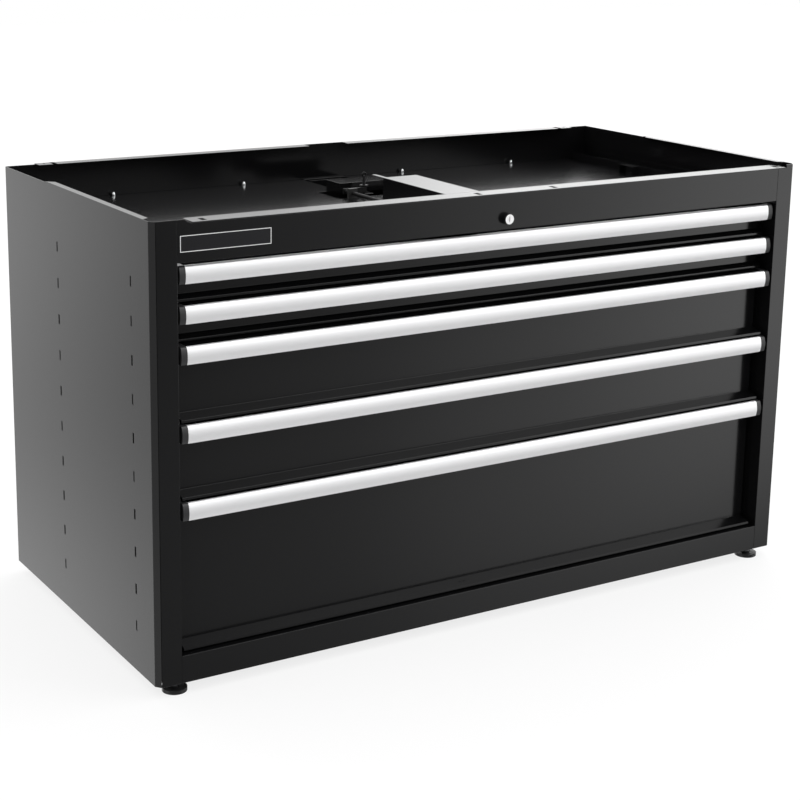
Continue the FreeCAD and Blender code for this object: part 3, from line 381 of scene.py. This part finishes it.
forward = Vector((math.sin(YAW) * math.cos(PITCH), math.cos(YAW) * math.cos(PITCH), -math.sin(PITCH)))
level = Vector((math.cos(YAW), -math.sin(YAW), 0))
upward = level.cross(forward)
right = level * math.cos(ROLL) + upward * math.sin(ROLL)
up = upward * math.cos(ROLL) - level * math.sin(ROLL)
turn = Matrix((right, up, -forward)).transposed()
camera = bpy.data.objects.new("camera", bpy.data.cameras.new("camera"))
bpy.context.scene.collection.objects.link(camera)
camera.matrix_world = Matrix.Translation(EYE) @ turn.to_4x4()
camera.data.sensor_width = SENSOR
camera.data.lens = FOCAL_PIXELS / PICTURE * SENSOR
camera.data.shift_x = (PICTURE / 2 - CENTRE_PIXEL[0]) / PICTURE
camera.data.shift_y = (CENTRE_PIXEL[1] - PICTURE / 2) / PICTURE
camera.data.clip_start = NEAREST
camera.data.clip_end = FARTHEST
bpy.context.scene.camera = camera


# Soft studio surroundings: white to the camera, and a gentle fall-off for light and reflections

# brightness by direction, in degrees: around from the front (0) by the right (90) or the left (-90) to
# the back, each a factor of its own height curve, and a part that is the same all around; the height
# curve on the right is lifted, gradually between two directions, as in the photo
LIFT = 7
LIFT_FROM = 34
LIFT_TO = 50
RIGHT_SIDE = [(0, 0.03), (21, 0.05), (30, 0.32), (36, 0.9), (44, 2.0), (52, 2.4), (100, 1.9), (132, 3.0),
              (143, 3.1), (153, 1.1), (168, 1.2), (180, 1.9)]
RIGHT_HEIGHT = [(-90, 0.2), (-45, 0.1), (-30, 0.02), (-27, 0.06), (-22, 0.72), (-18, 1.0), (-13, 1.0),
                (-6, 0.85), (1, 0.5), (6, 1.0), (40, 1.0), (90, 0.6)]
LEFT_SIDE = [(-180, 1.6), (-168, 1.5), (-145, 0.12), (-125, 0.12), (-102, 0.8), (-84, 0.8), (-68, 0.06),
             (0, 0.03)]
LEFT_HEIGHT = [(-90, 0.4), (-45, 1.0), (-24, 1.2), (-17, 0.85), (-10, 1.1), (6, 1.0), (40, 1.0), (90, 0.6)]
EVERYWHERE = [(-90, 0.6), (-50, 0.6), (-30, 0.25), (-21, 0.14), (-11, 0.03), (0, 0.06), (14, 0.6), (36, 1.6),
              (60, 1.1), (90, 0.5)]

world = bpy.data.worlds.new("studio")
bpy.context.scene.world = world
world.use_nodes = True
tree = world.node_tree
tree.nodes.clear()
way = node_of(tree, "ShaderNodeTexCoord").outputs["Generated"]
parts = node_of(tree, "ShaderNodeSeparateXYZ")
tree.links.new(way, parts.inputs[0])
x, y, z = parts.outputs
ahead = maths(tree, "MULTIPLY", y, -1.0)
turned = maths(tree, "ARCTAN2", x, ahead)
raised = maths(tree, "ARCSINE", z)
lift = smooth_step(tree, turned, math.radians(LIFT_FROM), math.radians(LIFT_TO), 0.0, math.radians(LIFT))
lowered = maths(tree, "SUBTRACT", raised, lift)
right_side = maths(tree, "MULTIPLY", curve(tree, turned, 0, 180, RIGHT_SIDE),
                   curve(tree, lowered, -90, 90, RIGHT_HEIGHT))
left_side = maths(tree, "MULTIPLY", curve(tree, turned, -180, 0, LEFT_SIDE),
                  curve(tree, raised, -90, 90, LEFT_HEIGHT))
everywhere = curve(tree, raised, -90, 90, EVERYWHERE)
total = maths(tree, "ADD", maths(tree, "ADD", right_side, left_side), everywhere)
studio = node_of(tree, "ShaderNodeBackground")
tree.links.new(total, studio.inputs["Strength"])
plain = node_of(tree, "ShaderNodeBackground")
plain.inputs["Strength"].default_value = 1.0
plain.inputs["Color"].default_value = WHITE
rays = node_of(tree, "ShaderNodeLightPath")
end_in_mix(tree, rays.outputs["Is Camera Ray"], studio, plain, "ShaderNodeOutputWorld")


# A white floor that keeps the contact shadow

FLOOR_SIZE = 30
FLOOR_GREY = (0.16, 0.16, 0.16, 1)
FLOOR_GLOW = 0.8

bpy.ops.mesh.primitive_plane_add(size=FLOOR_SIZE, location=(0, 0, 0))
floor = bpy.context.active_object
floor.name = "floor"
ground = bpy.data.materials.new("floor")
ground.use_nodes = True
tree = ground.node_tree
tree.nodes.clear()
chalk = node_of(tree, "ShaderNodeBsdfDiffuse")
chalk.inputs["Color"].default_value = FLOOR_GREY
glow = node_of(tree, "ShaderNodeEmission")
glow.inputs["Strength"].default_value = FLOOR_GLOW
glow.inputs["Color"].default_value = WHITE
lit = node_of(tree, "ShaderNodeAddShader")
tree.links.new(chalk.outputs[0], lit.inputs[0])
tree.links.new(glow.outputs[0], lit.inputs[1])
clear = node_of(tree, "ShaderNodeBsdfTransparent")
rays = node_of(tree, "ShaderNodeLightPath")
seen = maths(tree, "ADD", rays.outputs["Is Glossy Ray"], rays.outputs["Is Transmission Ray"])
end_in_mix(tree, seen, lit, clear, "ShaderNodeOutputMaterial")
floor.data.materials.append(ground)

bpy.context.scene.view_settings.view_transform = "Standard"
